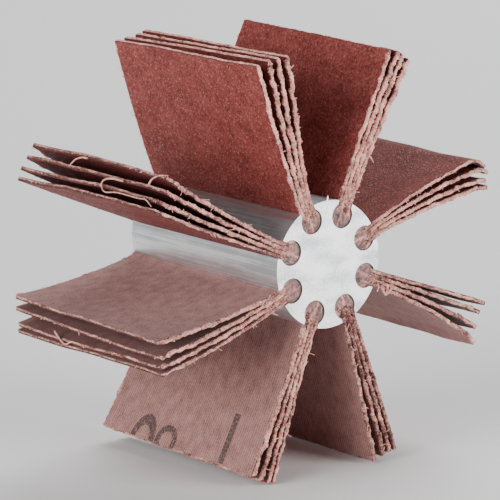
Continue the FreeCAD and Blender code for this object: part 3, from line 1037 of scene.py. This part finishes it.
def edge_stations(flap):
    """Stations round a flap's three free edges, from the front root to the rear one. Each has its
    place along the flap and across it, and the way out of the cloth there."""
    side = np.arange(FRAY_START, flap.length - CORNER_RADIUS, FRAY_STATION)
    front = np.stack([side, 0 * side, 0 * side, 0 * side - 1], axis=1)
    bend = np.linspace(0, math.pi / 2, CORNER_STATIONS)
    out_s, out_t = np.sin(bend), -np.cos(bend)
    inner_s, inner_t = flap.length - CORNER_RADIUS, CORNER_RADIUS
    corner = [inner_s + CORNER_RADIUS * out_s, inner_t + CORNER_RADIUS * out_t, out_s, out_t]
    corner = np.stack(corner, axis=1)
    t = np.arange(CORNER_RADIUS, flap.width - CORNER_RADIUS, FRAY_STATION)
    tip = np.stack([0 * t + flap.length, t, 0 * t + 1, 0 * t], axis=1)
    rear_corner, rear = (
        edge[::-1] * (1, -1, 1, -1) + (0, flap.width, 0, 0) for edge in (corner, front)
    )
    return np.concatenate([front, corner, tip[1:-1], rear_corner, rear])


def noise_of(points, size):
    return np.array([noise.noise(Vector(point) / size) for point in points])


class Roll:
    """The roll of loosened threads round a flap's free edges, by the places of its vertices."""

    def __init__(self, flap, stations, station, around):
        self.flap, self.around = flap, around
        self.s, self.t, self.out_s, self.out_t = (column[station] for column in stations.T)
        self.within = (station > 0) & (station < len(stations) - 1)
        self.free = flap.free(self.s)
        self.neck = np.clip(1 - self.s / NECK_REACH, 0, 1)
        self.calm = between(1, TIP_CALM, self.out_s)
        seed = (PACK_SEED * flap.pack, FLAP_SEED * flap.number, 0)
        self.places = np.stack([self.s, self.t, 0 * self.s], axis=1) + seed
        self.lumps = noise_of(self.places, LUMP_SIZE)
        run = distances(stations[:, :2])[station]
        self.tufts = np.cos(2 * math.pi * run / YARN_PITCH + TUFT_PUSH * self.lumps)

    def radius(self):
        """How thick the roll is. At its two ends that is nothing, which closes it."""
        ring = np.stack([np.cos(self.around), np.sin(self.around), 0 * self.s], axis=1)
        fuzz = noise_of(self.places + ring * FUZZ_RING, FUZZ_SIZE)
        lumps = between(NECK_LUMPS, TIP_LUMPS, self.free) * self.lumps
        rough = np.clip(lumps, -LUMP_LIMIT, LUMP_LIMIT) + FUZZ_SHARE * fuzz + TUFT_SIZE * self.tufts
        radius = ROLL_RADII[self.flap.pack - 1] * MM * between(1, TIP_ROLL, self.out_s)
        radius *= LEADING_ROLL if self.flap.number == 1 else OTHER_ROLL
        return radius * (1 + NECK_SWELL * self.neck) * (1 + self.calm * rough) * self.within

    def inset(self):
        """How far the roll's middle lies within the flap's edge."""
        drift = DRIFT * noise_of(self.places + DRIFT_SEED, DRIFT_SIZE)
        lip = np.clip((LIP_PLACE - self.s) / (LIP_PLACE - FRAY_START), 0, 1)
        depth = LIP_DEPTH - LIP_SHOWN * THREADS_SHOWN[self.flap.pack - 1]
        return FRAY_INSET + self.calm * drift * between(NECK_DRIFT, 1, self.free) + depth * lip

    def height(self):
        """How far the roll's middle lies above the flap's."""
        sway = SWAY * noise_of(self.places + SWAY_SEED, SWAY_SIZE)
        return self.calm * sway * between(NECK_SWAY, 1, self.free) - TIP_OFFSET * self.out_s

    def points(self):
        radius = self.radius()
        out = radius * np.cos(self.around) - self.inset()
        height = radius * np.sin(self.around) + self.height()
        return self.flap.place(self.s + self.out_s * out, self.t + self.out_t * out, height)

    def pale(self):
        """How pale the threads are."""
        sides, tips = PALE_SIDES[self.flap.pack - 1], PALE_TIPS[self.flap.pack - 1]
        pale = between(sides, tips, self.out_s) + PATCH_PALE * noise_of(self.places, PATCH_SIZE)
        # Painted highlight on the tufts and painted shade between them.
        pale += TUFT_PALE * self.tufts - NECK_DARKENING * self.neck
        return pale - (TIP_DUST - tips) * self.out_s * np.clip(np.sin(self.around), 0, 1)


def make_roll(flap, stations):
    """A sleeve whose ends are closed, shaped into the flap's roll."""
    last = len(stations) - 1
    piece, across, along = grid(f"{flap.name}_fray", last, FRAY_SIDES)
    station = np.rint(across * last).astype(int)
    roll = Roll(flap, stations, station, along * 2 * math.pi)
    move_to(piece, roll.points())
    set_values(piece, "pale", roll.pale())
    pick_faces(piece, lambda middle, normal: True)
    bpy.ops.mesh.remove_doubles(threshold=DOUBLES)
    bpy.ops.mesh.normals_make_consistent(inside=False)
    return close_up(piece)


def thread_end(flap, stations, draws):
    """A short bent thread that stands out of a frayed edge, as points and a radius."""
    station = draws.randrange(BARE_STATIONS, len(stations) - BARE_STATIONS)
    s, t, out_s, out_t = stations[station]
    length = draws.uniform(*THREAD_LENGTHS) * between(1, TIP_THREADS, out_s)
    if draws.random() < LONG_THREADS:
        length *= 2
    lean = draws.uniform(-THREAD_LEAN, THREAD_LEAN)
    lift = draws.uniform(-THREAD_LIFT, THREAD_LIFT)
    curve = draws.uniform(-THREAD_CURVE, THREAD_CURVE)
    share = np.linspace(0, 1, THREAD_STEPS)
    out = length * share * math.cos(lean) - FRAY_INSET
    aside = length * share * (math.sin(lean) + curve * share)
    points = flap.place(
        s + out_s * out - out_t * aside, t + out_t * out + out_s * aside, length * lift * share,
    )
    return points, draws.uniform(*THREAD_RADII)


def loose_thread(flap, radius, points):
    """A thread that has come right out of a flap, as points and a radius."""
    beyond, t, h = np.array(points).T * MM
    line = flap.place(flap.length - FRAY_INSET + beyond, t + FRAY_INSET, h)
    return bent_line(line), radius * MM


def bent_line(corners):
    """A smooth curve through a few points."""
    ends = 2 * corners[[0, -1]] - corners[[1, -2]]
    padded = np.concatenate([ends[:1], corners, ends[1:]])
    share = np.linspace(0, 1, THREAD_STEPS, endpoint=False)[:, None]
    spans = [
        b + share / 2 * (
            c - a + share * (2 * a - 5 * b + 4 * c - d + share * (3 * (b - c) + d - a))
        )
        for a, b, c, d in zip(padded, padded[1:], padded[2:], padded[3:])
    ]
    return np.concatenate([*spans, corners[-1:]])


def tubes(threads):
    """Thin tapered tubes along lines of points, in one mesh."""
    vertices, faces = [], []
    angles = [2 * math.pi * side / THREAD_SIDES for side in range(THREAD_SIDES)]
    for points, radius in threads:
        rings = [len(vertices) + step * THREAD_SIDES for step in range(len(points))]
        for step, (point, slope) in enumerate(zip(points, np.gradient(points, axis=0))):
            along = Vector(slope).normalized()
            side = along.cross(ASKEW).normalized()
            other = along.cross(side)
            size = radius * (1 - THREAD_TAPER * step / (len(points) - 1))
            vertices += [
                Vector(point) + size * (side * math.cos(angle) + other * math.sin(angle))
                for angle in angles
            ]
        for ring, following in zip(rings, rings[1:]):
            for side in range(THREAD_SIDES):
                after = (side + 1) % THREAD_SIDES
                faces.append((ring + side, ring + after, following + after, following + side))
        faces.append([rings[0] + side for side in reversed(range(THREAD_SIDES))])
        faces.append([rings[-1] + side for side in range(THREAD_SIDES)])
    mesh = bpy.data.meshes.new("threads")
    mesh.from_pydata(vertices, [], faces)
    piece = bpy.data.objects.new("threads", mesh)
    bpy.context.scene.collection.objects.link(piece)
    set_values(piece, "pale", PALE_THREADS)
    return piece


def make_fray(flap, cotton, draws):
    stations = edge_stations(flap)
    roll = make_roll(flap, stations)
    threads = [thread_end(flap, stations, draws) for _ in range(THREAD_ENDS)]
    for radius, points in LOOSE_THREADS.get((flap.pack, flap.number), ()):
        threads.append(loose_thread(flap, radius, points))
    fray = join([roll, tubes(threads)])
    fray.data.materials.append(cotton)
    bpy.ops.object.shade_smooth()
    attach(fray, "root")
    return fray


# The faces inside a pack are darker: painted shade for the shade between the flaps, and red dust.
grit, inner_grit = abrasive_grit("abrasive_grit"), abrasive_grit("inner_grit", INNER_LEFT_BY_SHADE_AND_DUST)
cloth, inner_cloth = backing_cloth("backing_cloth"), backing_cloth("inner_cloth", INNER_LEFT_BY_SHADE_AND_DUST)
printed_cloth = backing_cloth("printed_cloth", printed=True)
cut_cloth, cotton = cut_edge(), frayed_cotton()
draws = random.Random(76)
for pack in range(1, PACKS + 1):
    for number in range(1, FLAPS + 1):
        flap = Flap(pack, number)
        front_face = grit if number == 1 else inner_grit
        back_face = cloth if number == FLAPS else inner_cloth
        if (pack, number) == PRINTED_FLAP:
            back_face = printed_cloth
        panel = make_panel(flap, (front_face, back_face, cut_cloth))
        fray = make_fray(flap, cotton, draws)


# The stage is a plain pale floor under the lowest flap tips, lit by four large white soft boxes
# and faintly from all round. The camera looks at the front of the tool from its left and above.

FLOOR_RADIUS, FLOOR_SIDES = 4, 96
FLOOR_COLOUR = (0.9, 0.9, 0.9, 1)
FLOOR_GRAIN = 40 * MM
ROOM_COLOUR, ROOM_LIGHT = (1, 1, 1, 1), 0.08
LAMP_SIZE, LAMP_DISTANCE = 1.0, 1.5
CAMERA_AIM = Vector((0, HUB_MIDDLE, 0))
CAMERA_AZIMUTH, CAMERA_ELEVATION = -37.47, 11.39
CAMERA_DISTANCE = 559.2 * MM
CAMERA_LENS = 229.3
CAMERA_SHIFT = (-0.0062, -0.0101)
CAMERA_REACH = (10 * MM, 20)

# Each lamp's azimuth and elevation, in degrees, and its power, in watts.
LAMPS = {
    "left_lamp": (-90, 10, 22),
    "high_left_lamp": (-75, 25, 10),
    "front_lamp": (30, 10, 33),
    "rear_lamp": (120, 45, 20),
}


def make_floor():
    floor = add(
        "floor", bpy.ops.mesh.primitive_circle_add, vertices=FLOOR_SIDES, radius=FLOOR_RADIUS,
        fill_type="NGON",
    )
    floor.location.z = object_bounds()[0].z
    paint = new_material("floor_paint")
    grain = noise_at(object_place(paint), FLOOR_GRAIN)
    rough = ramp(grain, [(0, grey(0.85)), (1, grey(0.95))])
    surface(paint, Base_Color=FLOOR_COLOUR, Roughness=rough)
    floor.data.materials.append(paint)


def look_in(thing, azimuth, elevation, distance):
    """Adds a lamp or a camera that looks at the tool, from a direction in degrees, 0 in front."""
    piece = bpy.data.objects.new(thing.name, thing)
    bpy.context.scene.collection.objects.link(piece)
    azimuth, elevation = math.radians(azimuth), math.radians(elevation)
    level = math.cos(elevation)
    way = Vector((math.sin(azimuth) * level, -math.cos(azimuth) * level, math.sin(elevation)))
    piece.location = CAMERA_AIM + way * distance
    piece.rotation_mode = "QUATERNION"
    piece.rotation_quaternion = (-way).to_track_quat("-Z", "Y")
    return piece


def make_lamp(name, azimuth, elevation, power):
    """A square soft box."""
    light = bpy.data.lights.new(name, "AREA")
    light.shape, light.size, light.energy = "SQUARE", LAMP_SIZE, power
    look_in(light, azimuth, elevation, LAMP_DISTANCE)


def make_camera():
    camera = bpy.data.cameras.new("camera")
    camera.lens = CAMERA_LENS
    camera.shift_x, camera.shift_y = CAMERA_SHIFT
    camera.clip_start, camera.clip_end = CAMERA_REACH
    bpy.context.scene.camera = look_in(
        camera, CAMERA_AZIMUTH, CAMERA_ELEVATION, CAMERA_DISTANCE,
    )


def light_room():
    """Faint white light from all round."""
    world = bpy.data.worlds.new("studio")
    bpy.context.scene.world = world
    world.use_nodes = True
    background = world.node_tree.nodes["Background"].inputs
    background["Color"].default_value = ROOM_COLOUR
    background["Strength"].default_value = ROOM_LIGHT


make_floor()
for name, lamp in LAMPS.items():
    make_lamp(name, *lamp)
light_room()
make_camera()
